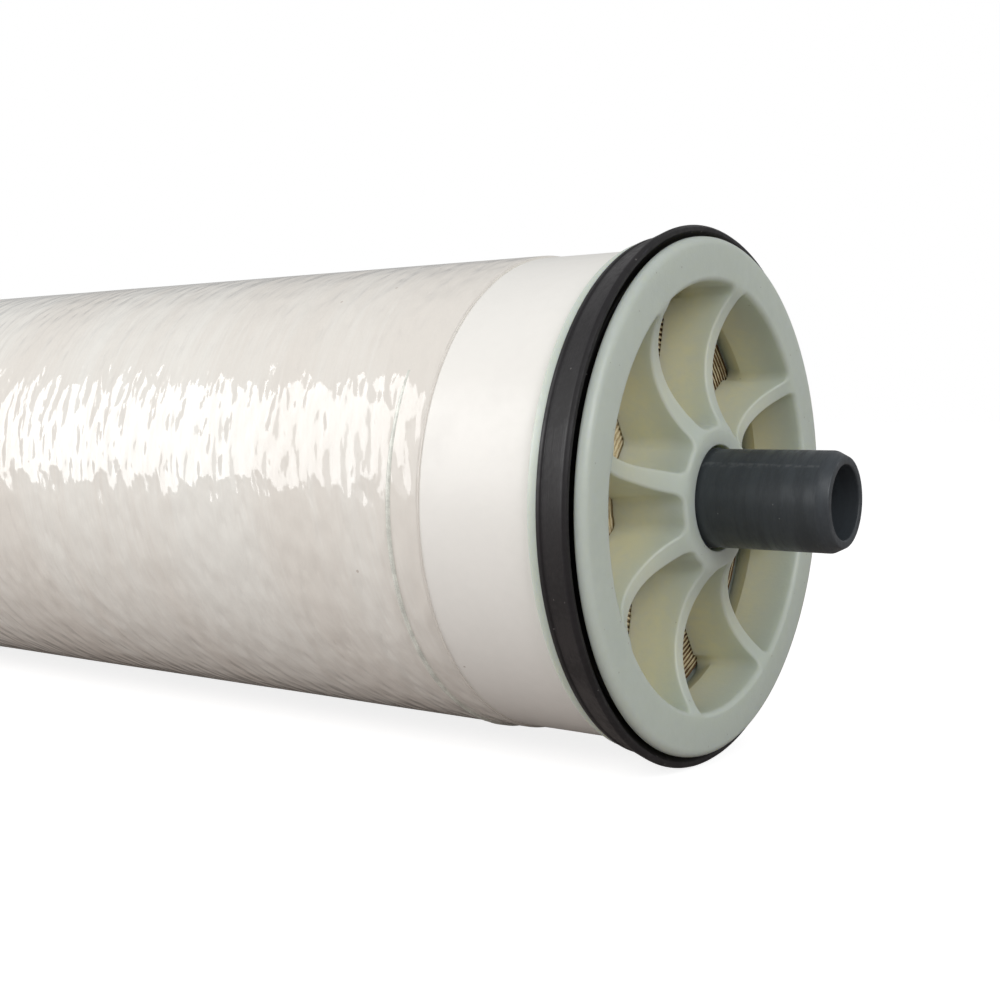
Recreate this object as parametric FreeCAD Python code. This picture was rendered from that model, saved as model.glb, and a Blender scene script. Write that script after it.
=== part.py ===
import FreeCAD, Part
import math
import os

# Spiral wound reverse osmosis membrane element, four inches across and forty inches long.
# Millimetres. The origin is the middle of the element on its axis. +X runs along the axis
# towards the feed end, which carries the brine seal, and +Z is up as the element lies.
# "Depth" is measured inwards along the axis from the outer face of an end cap.

# overall
overall_length = 1016.0        # tip to tip of the permeate tube

# permeate tube
tube_diameter = 19.4           # between the caps and through their hubs
tube_bore = 13.9
stub_diameter = 19.05          # turned to size at both ends, for an adapter with O-rings
stub_length = 24.4
stub_lead_length = 2.2         # taper on the stub's outer edge, for an O-ring to ride up
stub_lead_depth = 1.1
weep_hole_diameter = 4.0       # holes that let permeate into the tube, under the leaves
weep_hole_pitch = 240.0
weep_hole_margin = 60.0        # least distance from a roll end to a hole

# wound leaves
roll_diameter = 87.2
turn_pitch = 6.0
turn_gap = 1.3
turn_gap_depth = 1.6

# end cap, one moulding used at both ends
cap_setback = 25.4             # tip of the tube to the cap's face
hub_wall = 4.3
web_depth = 15.2               # face to the back of the spokes and the hub
rim_cover = 2.1                # how far the rim reaches in over the leaves' edge
rim_wall = 3.5                 # rim between its bore and the groove's floor
groove_depth = 5.0
groove_width = 6.1
front_flange = 2.8
face_edge_chamfer = 1.2
rear_flange = 2.65
rear_flange_step = 0.1         # rear flange below the front one
skirt_wall = 3.8
skirt_length = 28.0
spoke_count = 8
spoke_thickness = 3.6
spoke_angle = 32.8             # degrees, first spoke from +Y towards +Z at the feed end
spoke_dip = 5.2                # how far a spoke's front edge sags between hub and rim
window_corner_round = 2.6
glue_recess_width = 1.15       # ring round the tube in the hub's face, for glue
glue_recess_depth = 3.0

# wraps round the leaves
tape_thickness = 0.65
tape_length = 26.2
shell_thickness = 0.4          # over the tape
shell_lap = 1.8                # how far the shell laps over each tape

# brine seal, a rubber cup whose lip opens towards the feed
seal_lip_stand = 2.3           # lip above the cap's face
seal_heel_stand = 0.1          # heel above the cap's face
seal_lip_thickness = 1.0
seal_leg_thickness = 1.6
seal_heel_thickness = 2.3

# fits
tube_clearance = 0.05          # radial, hub round tube
roll_clearance = 0.3           # radial, cap round leaves
roll_setback = 0.2             # axial, leaves behind the spokes
seal_clearance = 0.25          # axial, each side of the seal in its groove
cutter_reach = 5.0             # how far a cutter runs past what it cuts

# radii from the axis
tube_radius = tube_diameter / 2
hub_radius = tube_radius + hub_wall
roll_radius = roll_diameter / 2
pocket_radius = roll_radius + roll_clearance
rim_bore_radius = roll_radius - rim_cover
groove_floor_radius = rim_bore_radius + rim_wall
face_radius = groove_floor_radius + groove_depth
skirt_radius = pocket_radius + skirt_wall
tape_radius = skirt_radius + tape_thickness
shell_radius = tape_radius + shell_thickness

# places along the axis, and depths behind a cap's face
cap_face_x = overall_length / 2 - cap_setback
roll_end_x = cap_face_x - web_depth - roll_setback
groove_back = front_flange + groove_width
flange_depth = groove_back + rear_flange
skirt_end_depth = flange_depth + skirt_length
tape_end_depth = flange_depth + tape_length
shell_end_depth = tape_end_depth - shell_lap

AXIS = FreeCAD.Vector(1, 0, 0)
ACROSS = FreeCAD.Vector(0, 1, 0)
UP = FreeCAD.Vector(0, 0, 1)
CENTRE = FreeCAD.Vector(0, 0, 0)


def at(depth, radius):
    """A point of a profile above the axis: depth behind the cap face, radius from the axis."""
    return FreeCAD.Vector(-depth, 0, radius)


def turned(points):
    """A solid turned about the axis from the corners of its profile."""
    corners = [at(depth, radius) for depth, radius in points + points[:1]]
    return Part.Face(Part.makePolygon(corners)).revolve(CENTRE, AXIS, 360)


def turned_alike(half):
    """A turned solid whose profile is given to one side of its middle and mirrored."""
    mirrored = [(-depth, radius) for depth, radius in reversed(half[1:-1])]
    return turned(half + mirrored)


def both_ends(shape):
    """The shape and its copy turned end for end."""
    return [shape, shape.rotated(CENTRE, UP, 180)]


def write(node, shape):
    solid = shape.removeSplitter().Solids
    if len(solid) != 1 or not solid[0].isValid():
        raise ValueError(node + " is not one valid solid")
    solid[0].exportStep("parts/" + node + ".step")


def permeate_tube():
    """The tube that everything is wound on, turned to size at both tips and drilled under the leaves."""
    bore, stub, tip = tube_bore / 2, stub_diameter / 2, overall_length / 2
    tube = turned_alike([
        (0, bore), (tip, bore), (tip, stub - stub_lead_depth), (tip - stub_lead_length, stub),
        (tip - stub_length, stub), (tip - stub_length, tube_radius), (0, tube_radius),
    ])
    drilled = 2 * (roll_end_x - weep_hole_margin)
    count = int(drilled / weep_hole_pitch) + 1
    for i in range(count):
        side = UP if i % 2 else ACROSS
        centre = AXIS * ((i - (count - 1) / 2) * weep_hole_pitch)
        hole = Part.makeCylinder(weep_hole_diameter / 2, tube_radius + cutter_reach, centre, side)
        tube = tube.cut(hole)
    return tube


def spiral_gap():
    """One gap that winds outwards between the leaves, in half turns about two centres."""
    inner = tube_radius + turn_pitch / 2
    outer = roll_radius - turn_pitch / 2 - turn_gap
    halves = int((outer - inner) / (turn_pitch / 2))

    def wall(offset):
        """Half circles above and below in turn, each starting where the last one ends."""
        run = []
        for i in range(halves):
            sign = 1 if i % 2 == 0 else -1
            radius = inner + offset + i * turn_pitch / 2
            centre = ACROSS * (0 if sign > 0 else turn_pitch / 2)
            start, end = centre + ACROSS * sign * radius, centre - ACROSS * sign * radius
            run.append(Part.Arc(start, centre + UP * sign * radius, end))
        return run

    near, far = wall(0), wall(turn_gap)
    closing = [
        Part.LineSegment(near[0].StartPoint, far[0].StartPoint),
        Part.LineSegment(near[-1].EndPoint, far[-1].EndPoint),
    ]
    edges = Part.__sortEdges__([curve.toShape() for curve in near + far + closing])
    return Part.Face(Part.Wire(edges)).extrude(AXIS * (turn_gap_depth + cutter_reach))


def membrane_roll():
    """The wound leaves as one body, with the gap between turns showing at both ends."""
    start = AXIS * -roll_end_x
    roll = Part.makeCylinder(roll_radius, 2 * roll_end_x, start, AXIS)
    roll = roll.cut(Part.makeCylinder(tube_radius, 2 * roll_end_x, start, AXIS))
    gap = spiral_gap().translated(AXIS * (roll_end_x - turn_gap_depth))
    for cutter in both_ends(gap):
        roll = roll.cut(cutter)
    return roll


def sag():
    """Cutter over the spoke on +Z: its front edge sags in an arc from the hub to the rim."""
    half_span = (rim_bore_radius - hub_radius) / 2
    radius = (half_span ** 2 + spoke_dip ** 2) / (2 * spoke_dip)
    side = spoke_thickness / 2 + 1.5 * window_corner_round
    start = at(spoke_dip - radius, hub_radius + half_span) - ACROSS * side
    return Part.makeCylinder(radius, 2 * side, start, ACROSS)


def window():
    """Cutter for the space between two spokes, centred on +Z, with rounded corners."""
    half_angle = math.pi / spoke_count
    offset = spoke_thickness / 2

    def corner(radius, side):
        reach = math.sqrt(radius ** 2 - offset ** 2)
        y = reach * math.sin(half_angle) - offset * math.cos(half_angle)
        z = reach * math.cos(half_angle) + offset * math.sin(half_angle)
        return FreeCAD.Vector(0, side * y, z)

    arcs = [Part.Arc(corner(r, -1), UP * r, corner(r, 1)) for r in (hub_radius, rim_bore_radius)]
    sides = [Part.LineSegment(corner(hub_radius, s), corner(rim_bore_radius, s)) for s in (-1, 1)]
    edges = Part.__sortEdges__([curve.toShape() for curve in arcs + sides])
    length = web_depth + 2 * cutter_reach
    opening = Part.Face(Part.Wire(edges)).extrude(AXIS * -length).translated(AXIS * cutter_reach)
    corners = [edge for edge in opening.Edges if edge.BoundBox.XLength > web_depth]
    return opening.makeFillet(window_corner_round, corners)


def end_cap():
    """The moulding with its face at x = 0: rim, seal groove, skirt, hub and sagging spokes."""
    bore, recess = tube_radius + tube_clearance, tube_radius + glue_recess_width
    rear = face_radius - rear_flange_step
    cap = turned([
        (0, recess), (0, face_radius - face_edge_chamfer), (face_edge_chamfer, face_radius),
        (front_flange, face_radius), (front_flange, groove_floor_radius),
        (groove_back, groove_floor_radius), (groove_back, rear),
        (flange_depth, rear), (flange_depth, skirt_radius),
        (skirt_end_depth, skirt_radius), (skirt_end_depth, pocket_radius),
        (web_depth, pocket_radius), (web_depth, bore),
        (glue_recess_depth, bore), (glue_recess_depth, recess),
    ])
    pitch = 360 / spoke_count
    for i in range(spoke_count):
        from_up = spoke_angle - 90 + i * pitch
        cap = cap.cut(window().rotated(CENTRE, AXIS, from_up + pitch / 2))
        cap = cap.cut(sag().rotated(CENTRE, AXIS, from_up))
    return cap


def brine_seal():
    """Rubber cup in the feed cap's groove: a heel, a leg on the groove floor and a flared lip."""
    front = front_flange + seal_clearance
    back = groove_back - seal_clearance
    heel, lip = face_radius + seal_heel_stand, face_radius + seal_lip_stand
    leg = groove_floor_radius + seal_leg_thickness
    return turned([
        (back, groove_floor_radius), (back, heel), (front, lip), (front, lip - seal_lip_thickness),
        (back - seal_heel_thickness, leg), (front, leg), (front, groove_floor_radius),
    ])


def tape_wrap():
    """Smooth tape wound over the cap's skirt, from the rear flange to under the shell."""
    return turned([
        (flange_depth, skirt_radius), (flange_depth, tape_radius),
        (tape_end_depth, tape_radius), (tape_end_depth, skirt_radius),
    ])


def fibreglass_shell():
    """Glass and resin wound over the leaves, both skirts and the inner ends of both tapes."""
    end, tape_end = cap_face_x - shell_end_depth, cap_face_x - tape_end_depth
    skirt_end = cap_face_x - skirt_end_depth
    return turned_alike([
        (0, roll_radius), (skirt_end, roll_radius), (skirt_end, skirt_radius), (tape_end, skirt_radius),
        (tape_end, tape_radius), (end, tape_radius), (end, shell_radius), (0, shell_radius),
    ])


def main():
    os.makedirs("parts", exist_ok=True)
    caps = both_ends(end_cap().translated(AXIS * cap_face_x))
    tapes = both_ends(tape_wrap().translated(AXIS * cap_face_x))
    write("permeate_tube", permeate_tube())
    write("membrane_roll", membrane_roll())
    write("feed_end_cap", caps[0])
    write("concentrate_end_cap", caps[1])
    write("feed_tape_wrap", tapes[0])
    write("concentrate_tape_wrap", tapes[1])
    write("fibreglass_shell", fibreglass_shell())
    write("brine_seal", brine_seal().translated(AXIS * cap_face_x))


main()
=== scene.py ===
import math

import bmesh
import bpy
from mathutils import Euler, Matrix, Vector, noise


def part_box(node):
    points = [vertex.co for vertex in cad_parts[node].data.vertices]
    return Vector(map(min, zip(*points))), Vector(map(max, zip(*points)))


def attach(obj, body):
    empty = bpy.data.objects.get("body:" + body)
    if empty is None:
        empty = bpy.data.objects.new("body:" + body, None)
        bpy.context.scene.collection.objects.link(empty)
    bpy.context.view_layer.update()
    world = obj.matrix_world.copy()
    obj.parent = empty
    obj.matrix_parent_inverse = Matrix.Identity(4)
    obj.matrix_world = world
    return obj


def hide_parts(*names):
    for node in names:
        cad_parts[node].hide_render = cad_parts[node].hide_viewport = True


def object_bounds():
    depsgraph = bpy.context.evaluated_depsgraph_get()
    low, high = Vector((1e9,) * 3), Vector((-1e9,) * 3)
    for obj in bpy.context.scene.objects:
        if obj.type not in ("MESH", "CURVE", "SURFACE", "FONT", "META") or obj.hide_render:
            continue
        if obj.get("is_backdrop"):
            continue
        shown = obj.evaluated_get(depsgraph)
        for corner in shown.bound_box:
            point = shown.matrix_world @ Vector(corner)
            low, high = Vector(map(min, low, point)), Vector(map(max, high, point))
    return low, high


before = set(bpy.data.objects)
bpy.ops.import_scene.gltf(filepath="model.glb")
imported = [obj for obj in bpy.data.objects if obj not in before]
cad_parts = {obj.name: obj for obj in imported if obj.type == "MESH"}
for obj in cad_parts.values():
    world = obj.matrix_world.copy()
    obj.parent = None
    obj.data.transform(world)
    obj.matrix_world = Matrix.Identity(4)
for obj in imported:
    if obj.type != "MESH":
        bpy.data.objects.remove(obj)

bl_info = {
    "name": "Membrane Element",
    "version": (1, 0, 0),
    "blender": (4, 5, 0),
    "location": "3D View > Sidebar > Membrane Element",
    "description": "Builds a spiral wound membrane element with its end caps, wraps and seal",
    "category": "Object",
}

# Metres throughout. The origin is the middle of the element, +X runs along its axis towards the
# feed end and +Z is up. "Depth" is measured inwards from the outer face of an end cap.
MM = 0.001
CAP_LOW, CAP_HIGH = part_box("feed_end_cap")
SEAL_LOW, SEAL_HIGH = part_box("brine_seal")
TAPE_LOW, TAPE_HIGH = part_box("feed_tape_wrap")
SHELL_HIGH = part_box("fibreglass_shell")[1]
ROLL_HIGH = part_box("membrane_roll")[1]
TUBE_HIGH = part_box("permeate_tube")[1]
FACE_X = CAP_HIGH[0]
FACE_RADIUS = CAP_HIGH[2]


def size(name, description, default):
    """A length that a user can change."""
    return bpy.props.FloatProperty(
        name=name, description=description, default=default, min=0, precision=5,
        unit="LENGTH", subtype="DISTANCE",
    )


def angle(name, description, degrees):
    """An angle that a user can change."""
    return bpy.props.FloatProperty(
        name=name, description=description, default=math.radians(degrees), unit="ROTATION",
        subtype="ANGLE",
    )


def amount(name, description, default, most=1.0):
    """A plain number that a user can change."""
    return bpy.props.FloatProperty(
        name=name, description=description, default=default, min=0, max=most,
    )


def linear(channel):
    """A display value from 0 to 255 as a shader reads it."""
    share = channel / 255
    return share / 12.92 if share <= 0.04045 else ((share + 0.055) / 1.055) ** 2.4


def tint(name, description, red, green, blue):
    """A colour that a user can change, given in display values."""
    return bpy.props.FloatVectorProperty(
        name=name, description=description, default=[linear(c) for c in (red, green, blue)],
        size=3, min=0, max=1, subtype="COLOR",
    )


class CapSizes(bpy.types.PropertyGroup):
    """End cap moulding."""

    hub_radius: size("Hub radius", "Outside of the hub", 14.0 * MM)
    rim_bore: size("Rim bore", "Radius of the rim's bore", 41.5 * MM)
    pocket: size("Pocket radius", "Inside of the skirt", 43.9 * MM)
    groove_floor: size("Groove floor", "Radius of the seal groove's floor", 45.0 * MM)
    skirt_radius: size("Skirt radius", "Outside of the skirt", 47.7 * MM)
    web_depth: size("Web depth", "Face to the back of the spokes", 15.2 * MM)
    front_flange: size("Front flange", "Thickness in front of the groove", 2.2 * MM)
    groove_back: size("Groove back", "Face to the back of the groove", 8.9 * MM)
    rear_flange: size("Rear flange", "Thickness behind the groove", 2.65 * MM)
    edge_round: size("Edge round", "Round on the face's outer edge", 1.7 * MM)
    small_round: size("Small round", "Round on the flanges' other edges", 0.3 * MM)
    spoke_thickness: size("Spoke thickness", "Across a spoke's front", 3.3 * MM)
    spoke_spread: size("Spoke spread", "How much wider a side gets at the hub", 0.4 * MM)
    spoke_draft: size("Spoke draft", "How much wider a side gets at the back", 0.9 * MM)
    spoke_dip: size("Spoke dip", "How far a spoke's front sags", 5.2 * MM)
    spoke_blend: size("Spoke blend", "Round where the sag runs into hub and rim", 3.4 * MM)
    spoke_round: size("Spoke edge round", "Round along a spoke's front edges", 0.5 * MM)
    rim_round: size("Rim edge round", "Round along the bore's front edge", 0.9 * MM)
    hub_corner: size("Hub corner", "Round where a spoke meets the hub", 2.6 * MM)
    rim_corner: size("Rim corner", "Round where a spoke meets the rim", 1.6 * MM)
    flare_start: size("Flare start", "Depth where the bore starts to widen", 11.4 * MM)
    flare_width: size("Flare width", "How far the bore widens", 2.1 * MM)
    glue_recess: size("Glue recess", "Width of the glue ring round the tube", 0.6 * MM)
    glue_depth: size("Glue depth", "Depth of the glue ring", 3.0 * MM)
    bore: size("Hub bore", "Radius of the hole for the tube", 9.75 * MM)
    spoke_angle: angle("Spoke angle", "First spoke, from +Y towards +Z", 32.8)
    spoke_count: bpy.props.IntProperty(
        name="Spokes", description="Number of spokes", default=8, min=3, max=16)


class WrapSizes(bpy.types.PropertyGroup):
    """Tapes, shell and the strand on it."""

    tape_thickness: size("Tape thickness", "All turns of the end tape", 0.65 * MM)
    strand_inset: size("Strand inset", "Shell's end to the raised strand", 6.6 * MM)
    strand_width: size("Strand width", "Width of the raised strand", 1.0 * MM)
    strand_height: size("Strand height", "How far the strand stands out", 0.5 * MM)


class LeafSizes(bpy.types.PropertyGroup):
    """Wound leaves."""

    pitch: size("Layer pitch", "One leaf and its spacer", 1.05 * MM)
    spacer_depth: size("Spacer depth", "How far the spacer lies back", 0.2 * MM)
    gap_depth: size("Gap depth", "How deep the gap beside a leaf looks", 0.55 * MM)
    ragged: size("Ragged", "How uneven the cut edges are", 0.22 * MM)
    body_setback: size("Body setback", "Layer edges to the solid core behind them", 1.8 * MM)


class TubeSizes(bpy.types.PropertyGroup):
    """Permeate tube."""

    stub_radius: size("Stub radius", "Outside of the turned tip", 9.525 * MM)
    stub_length: size("Stub length", "Length that is turned down", 24.4 * MM)
    bore: size("Tube bore", "Radius of the bore", 6.95 * MM)
    lead_length: size("Lead length", "Taper at the tip", 2.2 * MM)
    lead_depth: size("Lead depth", "How far the taper comes in", 1.1 * MM)


class Finishes(bpy.types.PropertyGroup):
    """Colours of the surfaces."""

    cap_face: tint("Cap face", "Moulding near the face", 200, 210, 200)
    # Painted bounce light: a yellower colour for the moulding deep in the windows, standing for warm light
    # bounced in there.
    cap_painted_bounce: tint("Cap depth", "Moulding deep in the windows", 232, 231, 198)
    tube: tint("Tube", "Tube plastic", 62, 68, 73)
    tube_dark: tint("Tube shade", "Darker streaks of the tube", 50, 55, 60)
    rubber: tint("Rubber", "Seal", 34, 32, 34)
    tape: tint("Tape", "End tape", 243, 241, 236)
    shell: tint("Shell", "Resin over the glass", 240, 238, 232)
    shell_band: tint("Shell band", "Warmer bands of the winding", 229, 223, 215)
    strand: tint("Strand", "Loose strand under the resin", 208, 210, 202)
    leaf: tint("Leaf edge", "Cut edge of the membrane", 236, 222, 186)
    spacer: tint("Spacer", "Net between the leaves", 206, 184, 142)
    # Painted shade: the dark colour of the gaps between the leaves stands for the shade down in them.
    gap: tint("Gap", "Dark gap between the leaves", 128, 98, 66)


class StageSettings(bpy.types.PropertyGroup):
    """Camera, floor and light."""

    lens: bpy.props.FloatProperty(
        name="Lens", description="Focal length in millimetres", default=50.02, min=1)
    camera_turn: angle("Camera turn", "Heading, from +Y towards -X", 34.973)
    camera_tilt: angle("Camera tilt", "How far it looks down", 3.325)
    camera_place: bpy.props.FloatVectorProperty(
        name="Camera place", description="Where the camera stands",
        default=(0.6015, -0.2441, 0.0152), size=3, unit="LENGTH", subtype="TRANSLATION")
    ambient: amount("Ambient", "Light from all round", 0.42, 5.0)
    softbox_power: amount("Softbox power", "Watts of the long softbox", 10.5, 200.0)
    front_power: amount("Front power", "Watts of the softbox in front", 3.5, 200.0)
    end_power: amount("End power", "Watts of the softbox before the feed end", 7.5, 200.0)


GROUPS = {
    "element_cap": CapSizes,
    "element_wraps": WrapSizes,
    "element_leaves": LeafSizes,
    "element_tube": TubeSizes,
    "element_finishes": Finishes,
    "element_stage": StageSettings,
}


# ---------------------------------------------------------------- shader nodes

def node(tree, kind, inputs=None, **settings):
    """A shader node with its settings, and its inputs set or linked by name or number."""
    made = tree.nodes.new(kind)
    for name, value in settings.items():
        setattr(made, name, value)
    for name, value in (inputs or {}).items():
        socket = made.inputs[name]
        if isinstance(value, bpy.types.NodeSocket):
            tree.links.new(value, socket)
        else:
            socket.default_value = value
    return made


def math_node(tree, operation, first, second=0.0, clamp=False):
    """The result of a sum on two values."""
    made = node(tree, "ShaderNodeMath", {0: first, 1: second}, operation=operation)
    made.use_clamp = clamp
    return made.outputs[0]


def blend_colours(tree, share, first, second, blend="MIX"):
    """Two colours mixed by a mask."""
    made = tree.nodes.new("ShaderNodeMix")
    made.data_type = "RGBA"
    made.blend_type = blend
    sockets = {s.identifier: s for s in made.inputs}
    for name, value in (("Factor_Float", share), ("A_Color", first), ("B_Color", second)):
        if isinstance(value, bpy.types.NodeSocket):
            tree.links.new(value, sockets[name])
        else:
            sockets[name].default_value = value
    return next(s for s in made.outputs if s.identifier == "Result_Color")


def spread(tree, value, low, high, to_low=0.0, to_high=1.0, smooth=True):
    """A value's range mapped to another range."""
    return node(
        tree, "ShaderNodeMapRange",
        {"Value": value, "From Min": low, "From Max": high, "To Min": to_low, "To Max": to_high},
        interpolation_type="SMOOTHSTEP" if smooth else "LINEAR",
    ).outputs[0]


def new_group(name, inputs, outputs):
    """An empty shader group with named sockets. Returns it with its input and output nodes."""
    group = bpy.data.node_groups.new(name, "ShaderNodeTree")
    for label, kind, default in inputs:
        socket = group.interface.new_socket(label, in_out="INPUT", socket_type=kind)
        if default is not None:
            socket.default_value = default
    for label, kind in outputs:
        group.interface.new_socket(label, in_out="OUTPUT", socket_type=kind)
    return group, group.nodes.new("NodeGroupInput").outputs, group.nodes.new("NodeGroupOutput").inputs


FLOAT, COLOUR, VECTOR = "NodeSocketFloat", "NodeSocketColor", "NodeSocketVector"


def mottle_group():
    """Soft cloudy change between two colours, at two scales."""
    tree, given, made = new_group(
        "Mottle",
        [("Place", VECTOR, None), ("Base", COLOUR, None), ("Other", COLOUR, None),
         ("Scale", FLOAT, 60.0), ("Contrast", FLOAT, 0.5)],
        [("Colour", COLOUR), ("Mask", FLOAT)],
    )
    broad = node(tree, "ShaderNodeTexNoise", {"Vector": given["Place"], "Scale": given["Scale"],
                                              "Detail": 3.0, "Roughness": 0.55})
    fine_scale = math_node(tree, "MULTIPLY", given["Scale"], 9.0)
    fine = node(tree, "ShaderNodeTexNoise", {"Vector": given["Place"], "Scale": fine_scale,
                                             "Detail": 2.0})
    both = math_node(tree, "ADD", math_node(tree, "MULTIPLY", broad.outputs[0], 0.7),
                     math_node(tree, "MULTIPLY", fine.outputs[0], 0.3))
    mask = math_node(tree, "MULTIPLY", spread(tree, both, 0.35, 0.65), given["Contrast"])
    tree.links.new(mask, made["Mask"])
    tree.links.new(blend_colours(tree, mask, given["Base"], given["Other"]), made["Colour"])
    return tree


def specks_group():
    """Scattered small specks, such as dust and lint."""
    tree, given, made = new_group(
        "Specks",
        [("Place", VECTOR, None), ("Scale", FLOAT, 300.0), ("Size", FLOAT, 0.1),
         ("Share", FLOAT, 0.1)],
        [("Mask", FLOAT)],
    )
    cells = node(tree, "ShaderNodeTexVoronoi", {"Vector": given["Place"], "Scale": given["Scale"],
                                                "Randomness": 1.0})
    near = math_node(tree, "LESS_THAN", cells.outputs["Distance"], given["Size"])
    chance = node(tree, "ShaderNodeSeparateColor", {"Color": cells.outputs["Color"]})
    kept = math_node(tree, "LESS_THAN", chance.outputs[0], given["Share"])
    tree.links.new(math_node(tree, "MULTIPLY", near, kept), made["Mask"])
    return tree


def grain_group():
    """Height of a fine even grain with faint broader unevenness."""
    tree, given, made = new_group(
        "Fine Grain",
        [("Place", VECTOR, None), ("Scale", FLOAT, 2500.0), ("Broad", FLOAT, 0.3)],
        [("Height", FLOAT)],
    )
    fine = node(tree, "ShaderNodeTexNoise", {"Vector": given["Place"], "Scale": given["Scale"],
                                             "Detail": 2.0})
    broad_scale = math_node(tree, "MULTIPLY", given["Scale"], 0.06)
    broad = node(tree, "ShaderNodeTexNoise", {"Vector": given["Place"], "Scale": broad_scale,
                                              "Detail": 1.0})
    height = math_node(tree, "ADD", fine.outputs[0],
                       math_node(tree, "MULTIPLY", broad.outputs[0], given["Broad"]))
    tree.links.new(height, made["Height"])
    return tree


def edge_wear_and_sheen_group():
    """Mask that rises on outer edges, broken up by noise."""
    tree, given, made = new_group(
        "Edge Wear And Sheen",
        [("Place", VECTOR, None), ("Reach", FLOAT, 0.06), ("Scale", FLOAT, 400.0)],
        [("Mask", FLOAT)],
    )
    bend = node(tree, "ShaderNodeNewGeometry").outputs["Pointiness"]
    top = math_node(tree, "ADD", 0.5, given["Reach"])
    edge = node(tree, "ShaderNodeMapRange", {"Value": bend, "From Min": 0.505, "From Max": top})
    broken = node(tree, "ShaderNodeTexNoise", {"Vector": given["Place"], "Scale": given["Scale"],
                                               "Detail": 3.0})
    mask = math_node(tree, "MULTIPLY", edge.outputs[0], spread(tree, broken.outputs[0], 0.4, 0.62))
    tree.links.new(mask, made["Mask"])
    return tree


def shared_group(name):
    """A shared effect, built the first time that it is asked for."""
    makers = {"Mottle": mottle_group, "Specks": specks_group, "Fine Grain": grain_group,
              "Edge Wear And Sheen": edge_wear_and_sheen_group}
    return bpy.data.node_groups.get(name) or makers[name]()


def placed(tree, name, **inputs):
    """Outputs of a shared effect placed in a material."""
    made = tree.nodes.new("ShaderNodeGroup")
    made.node_tree = shared_group(name)
    for label, value in inputs.items():
        if isinstance(value, bpy.types.NodeSocket):
            tree.links.new(value, made.inputs[label])
        else:
            made.inputs[label].default_value = value
    return made.outputs


def opaque(colour):
    """A colour with the alpha that colour sockets want."""
    return (*colour, 1.0)


def new_material(name, roughness, ior=1.5):
    """A material with its shader. Returns the material, its tree, the shader and places in metres."""
    material = bpy.data.materials.new(name)
    material.use_nodes = True
    tree = material.node_tree
    shader = tree.nodes["Principled BSDF"]
    shader.inputs["Roughness"].default_value = roughness
    shader.inputs["IOR"].default_value = ior
    place = tree.nodes.new("ShaderNodeTexCoord").outputs["Object"]
    return material, tree, shader, place


def bumped(tree, shader, height, distance, strength=1.0):
    """The shader's normal bent by a height, given in shares of a distance."""
    bump = node(tree, "ShaderNodeBump", {"Height": height, "Distance": distance,
                                         "Strength": strength})
    tree.links.new(bump.outputs[0], shader.inputs["Normal"])


def cap_plastic():
    """Satin moulding with faint flow marks, cool at the face and yellower in depth, where the yellow is
    painted warm bounce light in the windows.
    """
    look = bpy.context.scene.element_finishes
    material, tree, shader, place = new_material("cap_plastic", 0.36)
    # Painted bounce light: deep behind the face and inside the rim's bore the colour turns yellower, standing
    # for warm light bounced in the windows.
    split = node(tree, "ShaderNodeSeparateXYZ", {0: place})
    along = math_node(tree, "ABSOLUTE", split.outputs[0])
    deep = spread(tree, along, FACE_X - 0.8 * MM, FACE_X - 11 * MM, 0.0, 1.0)
    across = math_node(tree, "POWER", split.outputs[1], 2.0)
    up = math_node(tree, "POWER", split.outputs[2], 2.0)
    radius = math_node(tree, "SQRT", math_node(tree, "ADD", across, up))
    inside = spread(tree, radius, FACE_RADIUS - 6.5 * MM, FACE_RADIUS - 9 * MM)
    warm = math_node(tree, "MULTIPLY", deep, inside)
    face = placed(tree, "Mottle", Place=place, Base=opaque(look.cap_face),
                  Other=opaque([c * 0.93 for c in look.cap_face]), Scale=55.0, Contrast=0.6)
    depth = placed(tree, "Mottle", Place=place, Base=opaque(look.cap_painted_bounce),
                   Other=opaque([look.cap_painted_bounce[0] * 0.9, look.cap_painted_bounce[1] * 0.94,
                                 look.cap_painted_bounce[2] * 1.08]), Scale=70.0, Contrast=0.9)
    body = blend_colours(tree, warm, face["Colour"], depth["Colour"])
    edge_wear_and_sheen = placed(tree, "Edge Wear And Sheen", Place=place, Reach=0.12, Scale=700.0)["Mask"]
    body = blend_colours(tree, math_node(tree, "MULTIPLY", edge_wear_and_sheen, 0.25), body, (0.75, 0.78, 0.76, 1))
    specks = placed(tree, "Specks", Place=place, Scale=520.0, Size=0.11, Share=0.05)["Mask"]
    body = blend_colours(tree, math_node(tree, "MULTIPLY", specks, 0.4), body, (0.16, 0.14, 0.1, 1))
    tree.links.new(body, shader.inputs["Base Color"])
    gloss = spread(tree, face["Mask"], 0.0, 0.6, 0.30, 0.42)
    tree.links.new(gloss, shader.inputs["Roughness"])
    shader.inputs["Subsurface Weight"].default_value = 0.4
    shader.inputs["Subsurface Scale"].default_value = 0.006
    shader.inputs["Subsurface Radius"].default_value = (1.0, 0.95, 0.6)
    height = placed(tree, "Fine Grain", Place=place, Scale=1500.0, Broad=0.9)["Height"]
    bumped(tree, shader, height, 0.03 * MM)
    return material


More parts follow.
